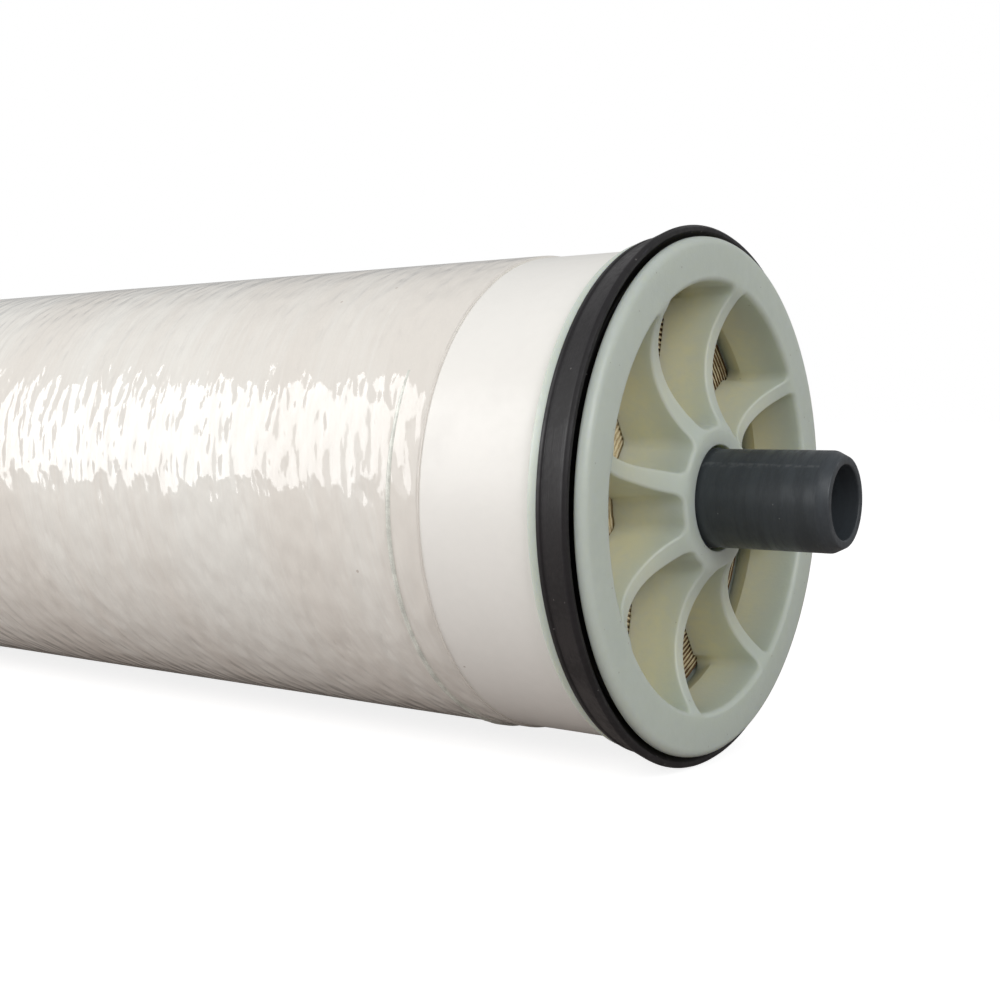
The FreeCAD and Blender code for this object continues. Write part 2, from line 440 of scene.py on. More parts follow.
def tube_plastic():
    """Extruded dark grey plastic with fine lines round it, a few scuffs and dust."""
    look = bpy.context.scene.element_finishes
    material, tree, shader, place = new_material("tube_plastic", 0.38)
    drawn = node(tree, "ShaderNodeMapping", {"Vector": place, "Scale": (6.0, 1.0, 1.0)})
    base = placed(tree, "Mottle", Place=drawn.outputs[0], Base=opaque(look.tube),
                  Other=opaque(look.tube_dark), Scale=90.0, Contrast=0.8)
    dust = placed(tree, "Specks", Place=place, Scale=900.0, Size=0.13, Share=0.05)["Mask"]
    edge_wear_and_sheen = placed(tree, "Edge Wear And Sheen", Place=place, Reach=0.08, Scale=900.0)["Mask"]
    body = blend_colours(tree, math_node(tree, "MULTIPLY", edge_wear_and_sheen, 0.5), base["Colour"],
                         (0.12, 0.13, 0.14, 1))
    body = blend_colours(tree, math_node(tree, "MULTIPLY", dust, 0.35), body, (0.3, 0.31, 0.32, 1))
    tree.links.new(body, shader.inputs["Base Color"])
    tree.links.new(spread(tree, base["Mask"], 0.0, 0.8, 0.34, 0.5), shader.inputs["Roughness"])
    rings = node(tree, "ShaderNodeMapping", {"Vector": place, "Scale": (1.0, 0.04, 0.04)})
    height = placed(tree, "Fine Grain", Place=rings.outputs[0], Scale=2200.0, Broad=0.6)["Height"]
    bumped(tree, shader, height, 0.006 * MM)
    return material


def seal_rubber():
    """Black moulded rubber with fine lines round it, a painted bluish highlight on its ridges, and lint."""
    look = bpy.context.scene.element_finishes
    material, tree, shader, place = new_material("seal_rubber", 0.45)
    shader.inputs["Specular IOR Level"].default_value = 0.35
    base = placed(tree, "Mottle", Place=place, Base=opaque(look.rubber),
                  Other=opaque([c * 0.55 for c in look.rubber]), Scale=120.0, Contrast=0.8)
    lint = placed(tree, "Specks", Place=place, Scale=700.0, Size=0.13, Share=0.08)["Mask"]
    # Painted highlight: ridges and outer edges turn lighter and bluish, standing for light caught on them.
    edge_wear_and_sheen = placed(tree, "Edge Wear And Sheen", Place=place, Reach=0.1, Scale=600.0)["Mask"]
    body = blend_colours(tree, math_node(tree, "MULTIPLY", edge_wear_and_sheen, 0.4), base["Colour"],
                         (0.06, 0.058, 0.075, 1))
    body = blend_colours(tree, math_node(tree, "MULTIPLY", lint, 0.35), body, (0.3, 0.29, 0.28, 1))
    tree.links.new(body, shader.inputs["Base Color"])
    tree.links.new(spread(tree, base["Mask"], 0.0, 0.8, 0.38, 0.54), shader.inputs["Roughness"])
    rings = node(tree, "ShaderNodeMapping", {"Vector": place, "Scale": (1.0, 0.03, 0.03)})
    height = placed(tree, "Fine Grain", Place=rings.outputs[0], Scale=4200.0, Broad=2.0)["Height"]
    bumped(tree, shader, height, 0.03 * MM)
    return material


def tape_film():
    """Smooth white tape: satin, faintly wrinkled, with a few dark specks."""
    look = bpy.context.scene.element_finishes
    material, tree, shader, place = new_material("tape_film", 0.4)
    base = placed(tree, "Mottle", Place=place, Base=opaque(look.tape),
                  Other=opaque([c * 0.955 for c in look.tape]), Scale=45.0, Contrast=0.7)
    specks = placed(tree, "Specks", Place=place, Scale=330.0, Size=0.09, Share=0.07)["Mask"]
    body = blend_colours(tree, math_node(tree, "MULTIPLY", specks, 0.45), base["Colour"],
                         (0.25, 0.18, 0.13, 1))
    tree.links.new(body, shader.inputs["Base Color"])
    tree.links.new(spread(tree, base["Mask"], 0.0, 0.7, 0.36, 0.46), shader.inputs["Roughness"])
    height = placed(tree, "Fine Grain", Place=place, Scale=700.0, Broad=2.5)["Height"]
    bumped(tree, shader, height, 0.02 * MM)
    return material


def shell_resin():
    """Glossy resin over wound glass: dimples along the winding, and warmer bands below it."""
    look = bpy.context.scene.element_finishes
    material, tree, shader, place = new_material("shell_resin", 0.1)
    wrap = node(tree, "ShaderNodeUVMap", None, uv_map="wrap").outputs[0]
    split = node(tree, "ShaderNodeSeparateXYZ", {0: wrap})
    round_it, along = split.outputs[0], split.outputs[1]
    leaning = math_node(tree, "ADD", along, math_node(tree, "MULTIPLY", round_it, 0.16))

    # dimples: about 3 mm apart along the axis and drawn out round it
    stretched = node(tree, "ShaderNodeCombineXYZ", {
        0: math_node(tree, "MULTIPLY", leaning, 1 / (2.9 * MM)),
        1: math_node(tree, "MULTIPLY", round_it, 1 / (6.5 * MM)),
    }).outputs[0]
    cells = node(tree, "ShaderNodeTexVoronoi", {"Vector": stretched, "Scale": 1.0,
                                                "Smoothness": 0.7, "Randomness": 0.8},
                 feature="SMOOTH_F1")
    ripple = node(tree, "ShaderNodeTexNoise", {"Vector": stretched, "Scale": 0.8, "Detail": 2.0,
                                               "Roughness": 0.4})
    dimples = math_node(tree, "ADD", cells.outputs["Distance"],
                        math_node(tree, "MULTIPLY", ripple.outputs[0], 0.9))

    # bands of roving, some warmer and some clearer than the rest
    banded = node(tree, "ShaderNodeCombineXYZ", {
        0: math_node(tree, "MULTIPLY", leaning, 1 / (26 * MM)),
        1: math_node(tree, "MULTIPLY", round_it, 1 / (240 * MM)),
    }).outputs[0]
    bands = node(tree, "ShaderNodeTexNoise", {"Vector": banded, "Scale": 1.0, "Detail": 3.0,
                                              "Roughness": 0.6})
    glass = node(tree, "ShaderNodeCombineXYZ", {
        0: math_node(tree, "MULTIPLY", leaning, 1 / (0.9 * MM)),
        1: math_node(tree, "MULTIPLY", round_it, 1 / (18 * MM)),
    }).outputs[0]
    threads = node(tree, "ShaderNodeTexNoise", {"Vector": glass, "Scale": 1.0, "Detail": 2.0})
    warm = math_node(tree, "ADD", math_node(tree, "MULTIPLY", bands.outputs[0], 0.8),
                     math_node(tree, "MULTIPLY", threads.outputs[0], 0.2))
    warm = spread(tree, warm, 0.38, 0.62)
    base = placed(tree, "Mottle", Place=place, Base=opaque(look.shell),
                  Other=opaque([c * 0.96 for c in look.shell]), Scale=38.0, Contrast=0.6)
    body = blend_colours(tree, math_node(tree, "MULTIPLY", warm, 0.75), base["Colour"],
                         opaque(look.shell_band))
    specks = placed(tree, "Specks", Place=place, Scale=260.0, Size=0.08, Share=0.05)["Mask"]
    body = blend_colours(tree, math_node(tree, "MULTIPLY", specks, 0.4), body, (0.3, 0.2, 0.15, 1))
    tree.links.new(body, shader.inputs["Base Color"])
    tree.links.new(spread(tree, warm, 0.0, 1.0, 0.05, 0.08), shader.inputs["Roughness"])
    bumped(tree, shader, dimples, 0.5 * MM)
    return material


def strand_glass():
    """Loose strand of glass under the resin."""
    look = bpy.context.scene.element_finishes
    material, tree, shader, place = new_material("strand_glass", 0.16)
    base = placed(tree, "Mottle", Place=place, Base=opaque(look.strand),
                  Other=opaque([min(1, c * 1.35) for c in look.strand]), Scale=500.0, Contrast=1.0)
    tree.links.new(base["Colour"], shader.inputs["Base Color"])
    height = placed(tree, "Fine Grain", Place=place, Scale=1600.0, Broad=1.0)["Height"]
    bumped(tree, shader, height, 0.05 * MM)
    return material


def leaf_material(name, colour, other, roughness, scale):
    """One of the wound layers: fibrous and matt."""
    material, tree, shader, place = new_material(name, roughness)
    base = placed(tree, "Mottle", Place=place, Base=opaque(colour), Other=opaque(other),
                  Scale=scale, Contrast=1.0)
    tree.links.new(base["Colour"], shader.inputs["Base Color"])
    height = placed(tree, "Fine Grain", Place=place, Scale=2600.0, Broad=1.2)["Height"]
    bumped(tree, shader, height, 0.12 * MM)
    return material


# ---------------------------------------------------------------- mesh helpers

def between(first, second, share):
    """A direction between two unit directions, turned evenly."""
    whole = first.angle(second)
    return (first * math.sin((1 - share) * whole) + second * math.sin(share * whole)) / math.sin(whole)


def rounded(corners, closed=True, steps=4):
    """Points of an outline whose corners (place, radius from the axis, round) are rounded."""
    points = []
    for i, (along, out, fillet) in enumerate(corners):
        here = Vector((along, out))
        if fillet <= 0 or (not closed and i in (0, len(corners) - 1)):
            points.append(here)
            continue
        back = (Vector(corners[i - 1][:2]) - here).normalized()
        ahead = (Vector(corners[(i + 1) % len(corners)][:2]) - here).normalized()
        half = back.angle(ahead) / 2
        centre = here + (back + ahead).normalized() * (fillet / math.sin(half))
        first = (here + back * (fillet / math.tan(half)) - centre).normalized()
        last = (here + ahead * (fillet / math.tan(half)) - centre).normalized()
        for step in range(steps + 1):
            points.append(centre + between(first, last, step / steps) * fillet)
    return points


def subdivided(points, longest, closed=True):
    """The outline with its long runs divided."""
    dense = []
    count = len(points)
    for i in range(count):
        dense.append(points[i])
        if i == count - 1 and not closed:
            break
        following = points[(i + 1) % count]
        parts = max(1, int((following - points[i]).length / longest))
        dense += [points[i].lerp(following, k / parts) for k in range(1, parts)]
    return dense


def turned(bm, outline, angles, closed=True, material=0, shape=None):
    """Faces of an outline turned about the axis, with a map in metres round it and along it.

    shape may change a point: it gets place, radius and angle and returns place and radius."""
    layer = bm.loops.layers.uv.get("wrap") or bm.loops.layers.uv.new("wrap")
    widest = max(p[1] for p in outline)
    rings, walked, far = [], [], 0.0
    for i, (along, out) in enumerate(outline):
        if i:
            far += (outline[i] - outline[i - 1]).length
        walked.append(far)
        ring = []
        for turn in angles:
            x, r = shape(along, out, turn) if shape else (along, out)
            ring.append(bm.verts.new((x, r * math.cos(turn), r * math.sin(turn))))
        rings.append(ring)
    walked.append(far + (outline[0] - outline[-1]).length)
    last = len(rings) if closed else len(rings) - 1
    for i in range(last):
        near, away = rings[i], rings[(i + 1) % len(rings)]
        for j in range(len(angles)):
            k = (j + 1) % len(angles)
            face = bm.faces.new((near[j], near[k], away[k], away[j]))
            face.material_index = material
            end = angles[k] if k else angles[0] + 2 * math.pi
            corners = ((angles[j], i), (end, i), (end, i + 1), (angles[j], i + 1))
            for loop, (turn, at) in zip(face.loops, corners):
                loop[layer].uv = (turn * widest, walked[at])
    return rings


def even_angles(count):
    """Angles all the way round, from +Y."""
    return [2 * math.pi * i / count for i in range(count)]


def finish_piece(name, bm, materials, stands_for=(), sharp=32.0, weld=0.0, turn_over=False):
    """A mesh made into a piece that rides on the frame."""
    if weld:
        bmesh.ops.remove_doubles(bm, verts=bm.verts, dist=weld)
    if turn_over:
        bmesh.ops.rotate(bm, verts=bm.verts, matrix=Matrix.Rotation(math.pi, 3, "Z"))
    bmesh.ops.recalc_face_normals(bm, faces=bm.faces)
    mesh = bpy.data.meshes.new(name)
    bm.to_mesh(mesh)
    bm.free()
    if not mesh.polygons:
        raise RuntimeError(name + " has no faces")
    for material in materials:
        mesh.materials.append(material)
    mesh.polygons.foreach_set("use_smooth", [True] * len(mesh.polygons))
    mesh.set_sharp_from_angle(angle=math.radians(sharp))
    piece = bpy.data.objects.new(name, mesh)
    bpy.context.scene.collection.objects.link(piece)
    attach(piece, "root")
    if stands_for:
        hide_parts(*stands_for)
    return piece


# ---------------------------------------------------------------- pieces

def sag(cap, radius):
    """Depth of the spokes' front at a distance from the axis: an arc, blended at both ends."""
    half_span = (cap.rim_bore - cap.hub_radius) / 2
    off_middle = abs(radius - cap.hub_radius - half_span)
    arc = (half_span ** 2 + cap.spoke_dip ** 2) / (2 * cap.spoke_dip)
    reach = math.sqrt((arc + cap.spoke_blend) ** 2 - (arc + cap.spoke_blend - cap.spoke_dip) ** 2)
    if off_middle >= reach:
        return 0.0
    if off_middle >= reach * arc / (arc + cap.spoke_blend):
        return cap.spoke_blend - math.sqrt(cap.spoke_blend ** 2 - (reach - off_middle) ** 2)
    return math.sqrt(arc ** 2 - off_middle ** 2) + cap.spoke_dip - arc


def half_window(cap, outer, inner):
    """Half the edge of the space between two spokes, from the hub's side to the rim's.

    Each point has its place, the way out into the plastic, the point beyond it on the middle of
    the spoke, the rim or the hub, how far it belongs to the rim (0 to 1), and the same for the hub.
    """
    half = math.pi / cap.spoke_count
    at_rim, at_hub = cap.spoke_thickness / 2, cap.spoke_thickness / 2 + cap.spoke_spread
    rim_corner, hub_corner = cap.rim_corner, cap.hub_corner
    spoke = Vector((math.cos(half), -math.sin(half)))
    inward = Vector((math.sin(half), math.cos(half)))
    rim_reach = math.sqrt((cap.rim_bore - rim_corner) ** 2 - (at_rim + rim_corner) ** 2)
    hub_reach = math.sqrt((cap.hub_radius + hub_corner) ** 2 - (at_hub + hub_corner) ** 2)
    rim_centre = spoke * rim_reach + inward * (at_rim + rim_corner)
    hub_centre = spoke * hub_reach + inward * (at_hub + hub_corner)
    rim_way, hub_way = rim_centre.normalized(), -hub_centre.normalized()
    rim_turn = math.atan2(rim_way.y, rim_way.x)
    hub_turn = math.atan2(-hub_way.y, -hub_way.x)

    def on_circle(radius, turn):
        return Vector((math.cos(turn), math.sin(turn))) * radius

    points = []
    hub_steps, corner_steps, side_steps, rim_steps = 4, 8, 26, 16
    for i in range(hub_steps):
        turn = hub_turn * i / hub_steps
        points.append((on_circle(cap.hub_radius, turn), -on_circle(1, turn), on_circle(inner, turn), 0.0, 1.0))
    for i in range(corner_steps):
        share = i / corner_steps
        way = between(hub_way, -inward, share)
        if share < 0.5:
            beyond = on_circle(inner, hub_turn + (-half - hub_turn) * share * 2)
        else:
            beyond = spoke * (inner + (hub_reach - inner) * (share * 2 - 1))
        points.append((hub_centre + way * hub_corner, way, beyond, 0.0, 1 - share))
    for i in range(side_steps):
        reach = hub_reach + (rim_reach - hub_reach) * i / side_steps
        near_hub = max(0.0, 1 - i / side_steps / 0.45)
        offset = at_rim + (at_hub - at_rim) * near_hub * near_hub * (3 - 2 * near_hub)
        points.append((spoke * reach + inward * offset, -inward, spoke * reach, 0.0, 0.0))
    for i in range(corner_steps):
        share = i / corner_steps
        way = between(-inward, rim_way, share)
        if share < 0.5:
            beyond = spoke * (rim_reach + (outer - rim_reach) * share * 2)
        else:
            beyond = on_circle(outer, -half + (rim_turn + half) * (share * 2 - 1))
        points.append((rim_centre + way * rim_corner, way, beyond, share, 0.0))
    for i in range(rim_steps + 1):
        turn = rim_turn * (1 - i / rim_steps)
        points.append((on_circle(cap.rim_bore, turn), on_circle(1, turn), on_circle(outer, turn), 1.0, 0.0))
    return points


def cap_rows(cap, outer, inner, outer_back):
    """The web's surface as rows of (depth, place), from the front's middle lines to the back's."""
    front = half_window(cap, outer, inner)
    back = half_window(cap, outer_back, inner)
    edge = []
    for place, way, beyond, rim, hub in front:
        edge.append(cap.spoke_round + (cap.rim_round - cap.spoke_round) * rim
                    + (cap.spoke_round * 0.4) * hub)
    rows = []
    for share in (1.0, 0.7, 0.42, 0.2, 0.06):
        row = []
        for (place, way, beyond, rim, hub), fillet in zip(front, edge):
            start = place + way * fillet
            spot = start.lerp(beyond, share)
            row.append((sag(cap, spot.length), spot))
        rows.append(row)
    for turn in (90, 72, 54, 36, 18, 0):
        lift, out = math.sin(math.radians(turn)), math.cos(math.radians(turn))
        row = []
        for (place, way, beyond, rim, hub), fillet in zip(front, edge):
            spot = place + way * fillet * (1 - out)
            row.append((sag(cap, spot.length) + fillet * (1 - lift), spot))
        rows.append(row)
    tops = [depth for depth, spot in rows[-1]]

    def wall(depths, widened):
        """A row down the walls: the sides thicken with depth, and the bore may widen."""
        row = []
        for depth, top, (place, way, beyond, rim, hub) in zip(depths, tops, front):
            thicker = cap.spoke_draft * (1 - rim) * (depth - top) / (cap.web_depth - top)
            row.append((depth, place - way * thicker + way * widened * rim))
        rows.append(row)

    for share in (0.12, 0.35, 0.6, 0.82):
        wall([top + (cap.flare_start - top) * share for top in tops], 0.0)
    for share in (0.0, 0.3, 0.65, 1.0):
        depth = cap.flare_start + (cap.web_depth - cap.flare_start) * share
        wall([depth] * len(tops), cap.flare_width * share)
    rows.append([(cap.web_depth, point[2]) for point in back])
    return rows


def cap_mesh(cap):
    """The end cap as one closed surface with its face at +X."""
    bm = bmesh.new()
    outer, inner, outer_back = cap.rim_bore + 2.6 * MM, cap.hub_radius - 1.9 * MM, cap.pocket
    rows = cap_rows(cap, outer, inner, outer_back)
    pitch = 2 * math.pi / cap.spoke_count
    rim_turns, hub_turns = set(), set()
    for k in range(cap.spoke_count):
        middle = cap.spoke_angle + (k + 0.5) * pitch
        for side in (-1, 1):
            grid = []
            for row in rows:
                line = []
                for depth, spot in row:
                    turn = middle - side * math.atan2(spot.y, spot.x)
                    line.append(bm.verts.new((FACE_X - depth, spot.length * math.cos(turn),
                                              spot.length * math.sin(turn))))
                grid.append(line)
            for near, away in zip(grid, grid[1:]):
                for a, b, c, d in zip(near, near[1:], away[1:], away):
                    bm.faces.new((a, b, c, d))
            for depth, spot in rows[0]:
                turn = round(middle - side * math.atan2(spot.y, spot.x), 7)
                if abs(spot.length - outer) < 1e-7:
                    rim_turns.add(turn % round(2 * math.pi, 7))
                if abs(spot.length - inner) < 1e-7:
                    hub_turns.add(turn % round(2 * math.pi, 7))

    def apart(turns):
        """The turns in order, each once."""
        kept = []
        for turn in sorted(turns):
            if not kept or turn - kept[-1] > 1e-5:
                kept.append(turn)
        return kept

    groove_back, flange_back = cap.groove_back, cap.groove_back + cap.rear_flange
    skirt_end = FACE_X - CAP_LOW[0]
    small = cap.small_round
    outside = rounded([
        (0, outer, 0), (0, FACE_RADIUS, cap.edge_round), (cap.front_flange, FACE_RADIUS, small),
        (cap.front_flange, cap.groove_floor, small), (groove_back, cap.groove_floor, small),
        (groove_back, FACE_RADIUS - 0.1 * MM, small), (flange_back, FACE_RADIUS - 0.1 * MM, small),
        (flange_back, cap.skirt_radius, 0), (skirt_end, cap.skirt_radius, small),
        (skirt_end, cap.pocket, small), (cap.web_depth, cap.pocket, 0),
    ], closed=False, steps=5)
    recess = cap.bore + cap.glue_recess - 0.05 * MM
    inside = rounded([
        (0, inner, 0), (0, recess, small), (cap.glue_depth, recess, 0), (cap.glue_depth, cap.bore, 0),
        (cap.web_depth, cap.bore, 0), (cap.web_depth, inner, 0),
    ], closed=False, steps=3)
    for outline, turns in ((outside, rim_turns), (inside, hub_turns)):
        places = [Vector((FACE_X - depth, out)) for depth, out in outline]
        turned(bm, places, apart(turns), closed=False)
    return bm


def leaf_end(bm, leaves, end_x, inner, outer):
    """Cut edges of the wound leaves at one end: one strip that winds outwards."""
    per_turn = 230
    steps = int((outer - inner) / leaves.pitch * per_turn)
    # share of the pitch, how far back, how ragged, and the layer that starts there
    layers = (
        (0.00, 0.0, 1.0, 0), (0.20, -0.05 * MM, 1.0, 0), (0.42, 0.05 * MM, 1.0, 1),
        (0.50, leaves.spacer_depth, 0.8, 1), (0.62, leaves.spacer_depth, 1.3, 1),
        # From here the strip takes the dark colour of the gaps between the leaves, which is painted shade.
        (0.78, leaves.spacer_depth, 1.3, 2), (0.88, leaves.gap_depth, 0.2, 2),
    )
    deepest = leaves.body_setback
    strip = []
    for i in range(steps + per_turn + 1):
        turn = 2 * math.pi * i / per_turn
        start = inner + leaves.pitch * i / per_turn
        wander = noise.noise(Vector((math.cos(turn) * 2.2, math.sin(turn) * 2.2, i / per_turn * 0.7)))
        line = []
        for number, (share, back, ragged, kind) in enumerate(layers):
            out = start + leaves.pitch * (share + 0.1 * wander * (number > 0))
            rough = noise.noise(Vector((turn * start / (1.3 * MM), share * 9, 3.1)))
            rough += 0.6 * noise.noise(Vector((turn * start / (0.5 * MM), share * 5, 7.7)))
            net = 0.0
            if number in (4, 5):
                net = 0.35 * MM * max(0, math.sin(turn * start / (2.4 * MM) + number * 1.9))
            depth = back + net + leaves.ragged * ragged * (0.35 + 0.6 * rough)
            depth = min(max(depth, 0.0), deepest)
            out = min(out, outer)
            line.append(bm.verts.new((end_x - depth, out * math.cos(turn), out * math.sin(turn))))
        strip.append(line)
    for i in range(steps):
        if inner + leaves.pitch * (i / per_turn + 1.02) > outer:
            break
        for number in range(len(layers)):
            if number + 1 < len(layers):
                corners = (strip[i][number], strip[i + 1][number], strip[i + 1][number + 1],
                           strip[i][number + 1])
            else:
                corners = (strip[i][number], strip[i + 1][number], strip[i + 1 + per_turn][0],
                           strip[i + per_turn][0])
            face = bm.faces.new(corners)
            face.material_index = layers[number][3]
    loose = [v for v in bm.verts if not v.link_faces]
    bmesh.ops.delete(bm, geom=loose, context="VERTS")


class OBJECT_OT_element_caps(bpy.types.Operator):
    """Both end caps"""

    bl_idname = "element.caps"
    bl_label = "Build End Caps"

    def execute(self, context):
        plastic = cap_plastic()
        for name, stands_for, over in (("feed_cap_moulding", "feed_end_cap", False),
                                       ("concentrate_cap_moulding", "concentrate_end_cap", True)):
            finish_piece(name, cap_mesh(context.scene.element_cap), [plastic],
                         [stands_for], sharp=25, weld=0.002 * MM, turn_over=over)
        return {"FINISHED"}


class OBJECT_OT_element_leaves(bpy.types.Operator):
    """Wound leaves with their cut edges at both ends"""

    bl_idname = "element.leaves"
    bl_label = "Build Wound Leaves"

    def execute(self, context):
        leaves = context.scene.element_leaves
        look = context.scene.element_finishes
        cap = context.scene.element_cap
        bm = bmesh.new()
        leaf_end(bm, leaves, ROLL_HIGH[0], cap.hub_radius - 2.5 * MM, ROLL_HIGH[2])
        for vert in bm.verts:
            vert.co.x = min(vert.co.x, ROLL_HIGH[0])
        copy = bmesh.ops.duplicate(bm, geom=bm.verts[:] + bm.edges[:] + bm.faces[:])
        turned_over = [g for g in copy["geom"] if isinstance(g, bmesh.types.BMVert)]
        bmesh.ops.rotate(bm, verts=turned_over, matrix=Matrix.Rotation(math.pi, 3, "Z"))
        # The solid core behind the layer edges wears the same dark colour, painted shade where it shows
        # between them.
        core = ROLL_HIGH[0] - leaves.body_setback
        outline = rounded([
            (-core, cap.bore - 0.05 * MM, 0), (-core, ROLL_HIGH[2], 0.3 * MM),
            (core, ROLL_HIGH[2], 0.3 * MM), (core, cap.bore - 0.05 * MM, 0),
        ])
        turned(bm, subdivided(outline, 60 * MM), even_angles(192), material=2)
        materials = [
            leaf_material("leaf_edge", look.leaf, [c * 0.72 for c in look.leaf], 0.6, 420.0),
            leaf_material("leaf_spacer", look.spacer, [c * 0.6 for c in look.spacer], 0.7, 520.0),
            # Painted shade: a dark colour standing for the shade down between the leaves.
            leaf_material("leaf_gap_shade", look.gap, [c * 0.5 for c in look.gap], 0.8, 300.0),
        ]
        finish_piece("wound_leaves", bm, materials, ["membrane_roll"], sharp=50)
        return {"FINISHED"}


class OBJECT_OT_element_tube(bpy.types.Operator):
    """Permeate tube with its turned tips"""

    bl_idname = "element.tube"
    bl_label = "Build Permeate Tube"

    def execute(self, context):
        tube = context.scene.element_tube
        tip, body = TUBE_HIGH[0], TUBE_HIGH[2]
        shoulder = min(tip - tube.stub_length, FACE_X - 0.5 * MM)
        right = [
            (shoulder, body, 0.0), (shoulder, tube.stub_radius, 0.0),
            (tip - tube.lead_length, tube.stub_radius, 1.6 * MM),
            (tip, tube.stub_radius - tube.lead_depth, 0.45 * MM), (tip, tube.bore, 0.35 * MM),
        ]
        left = [(-x, r, f) for x, r, f in reversed(right)]
        outline = rounded(left + right, steps=5)
        bm = bmesh.new()
        turned(bm, subdivided(outline, 30 * MM), even_angles(128))
        finish_piece("product_tube", bm, [tube_plastic()], ["permeate_tube"])
        return {"FINISHED"}


class OBJECT_OT_element_tapes(bpy.types.Operator):
    """Smooth tape over each cap's skirt"""

    bl_idname = "element.tapes"
    bl_label = "Build End Tapes"

    def execute(self, context):
        wraps = context.scene.element_wraps
        film = tape_film()
        inside = TAPE_HIGH[2] - wraps.tape_thickness
        outline = rounded([
            (TAPE_LOW[0], inside, 0), (TAPE_LOW[0], TAPE_HIGH[2], 0.1 * MM),
            (TAPE_HIGH[0], TAPE_HIGH[2], 0.3 * MM), (TAPE_HIGH[0], inside, 0),
        ], steps=3)
        outline = subdivided(outline, 2.2 * MM)

        def wrapped(along, out, turn):
            """Each turn lies a little off the last, and its outer end makes a low step."""
            if out < TAPE_HIGH[2] - 0.2 * MM:
                return along, out
            step = 0.07 * MM * ((turn + 1.2) / (2 * math.pi) % 1.0)
            wave = noise.noise(Vector((along * 90, math.cos(turn) * 1.7, math.sin(turn) * 1.7)))
            return along, out - step + 0.05 * MM * wave - 0.05 * MM

        for name, stands_for, over in (("feed_tape", "feed_tape_wrap", False),
                                       ("concentrate_tape", "concentrate_tape_wrap", True)):
            bm = bmesh.new()
            turned(bm, outline, even_angles(256), shape=wrapped)
            finish_piece(name, bm, [film], [stands_for], turn_over=over)
        return {"FINISHED"}


class OBJECT_OT_element_shell(bpy.types.Operator):
    """Glass and resin shell, and the strand that stands out of it near each end"""

    bl_idname = "element.shell"
    bl_label = "Build Shell"

    def execute(self, context):
        cap, wraps = context.scene.element_cap, context.scene.element_wraps
        end, outside = SHELL_HIGH[0], SHELL_HIGH[2]
        skirt_end, tape_end = CAP_LOW[0], TAPE_LOW[0]
        tape_out, roll_out = TAPE_HIGH[2] - 0.15 * MM, ROLL_HIGH[2]
        inner = [(-end, tape_out, 0), (-tape_end, tape_out, 0), (-tape_end, cap.skirt_radius, 0),
                 (-skirt_end, cap.skirt_radius, 0), (-skirt_end, roll_out, 0),
                 (skirt_end, roll_out, 0), (skirt_end, cap.skirt_radius, 0),
                 (tape_end, cap.skirt_radius, 0), (tape_end, tape_out, 0), (end, tape_out, 0)]
        outer = [(end, outside, 0.3 * MM), (-end, outside, 0.3 * MM)]
        outline = subdivided(rounded(inner + outer, steps=4), 6 * MM)

        def wound(along, out, turn):
            """The ends wander a little and the resin lies in low waves."""
            if out < outside - 0.25 * MM:
                return along, out
            wave = noise.noise(Vector((along * 40, math.cos(turn) * 1.4, math.sin(turn) * 1.4)))
            if abs(along) > end - 0.5 * MM:
                ragged = noise.noise(Vector((along * 20, math.cos(turn) * 3, math.sin(turn) * 3)))
                along -= math.copysign(0.25 * MM * (ragged + 0.6), along)
            return along, out + 0.06 * MM * (wave - 1)

        bm = bmesh.new()
        turned(bm, outline, even_angles(256), shape=wound)
        finish_piece("glass_shell", bm, [shell_resin()], ["fibreglass_shell"])
        glass = strand_glass()
        for name, over in (("feed_strand", False), ("concentrate_strand", True)):
            finish_piece(name, self.strand(wraps, end, outside), [glass],
                         turn_over=over)
        return {"FINISHED"}

    def strand(self, wraps, end, outside):
        """A strand that rises out of the resin at one end of its run and sinks into it at the other."""
        bm = bmesh.new()
        runs, around = 300, 10
        first, last = math.radians(150), math.radians(420)
        rings = []
        for i in range(runs + 1):
            share = i / runs
            turn = first + (last - first) * share
            fade = min(1.0, share / 0.16, (1 - share) / 0.06)
            fade = fade * fade * (3 - 2 * fade)
            drift = 0.5 * MM * noise.noise(Vector((share * 4, 5.5, 0))) + 1.2 * MM * (share - 0.5)
            middle = end - wraps.strand_inset + drift
            height = wraps.strand_height * fade * (0.85 + 0.15 * noise.noise(Vector((share * 60, 0, 0))))
            ring = []
            for j in range(around + 1):
                way = math.pi * j / around
                x = middle + math.cos(way) * wraps.strand_width / 2
                r = outside - 0.15 * MM + math.sin(way) * (height + 0.12 * MM)
                ring.append(bm.verts.new((x, r * math.cos(turn), r * math.sin(turn))))
            rings.append(ring)
        for near, away in zip(rings, rings[1:]):
            for j in range(around):
                bm.faces.new((near[j], near[j + 1], away[j + 1], away[j]))
            bm.faces.new((near[around], near[0], away[0], away[around]))
        bm.faces.new(rings[0])
        bm.faces.new(rings[-1])
        return bm


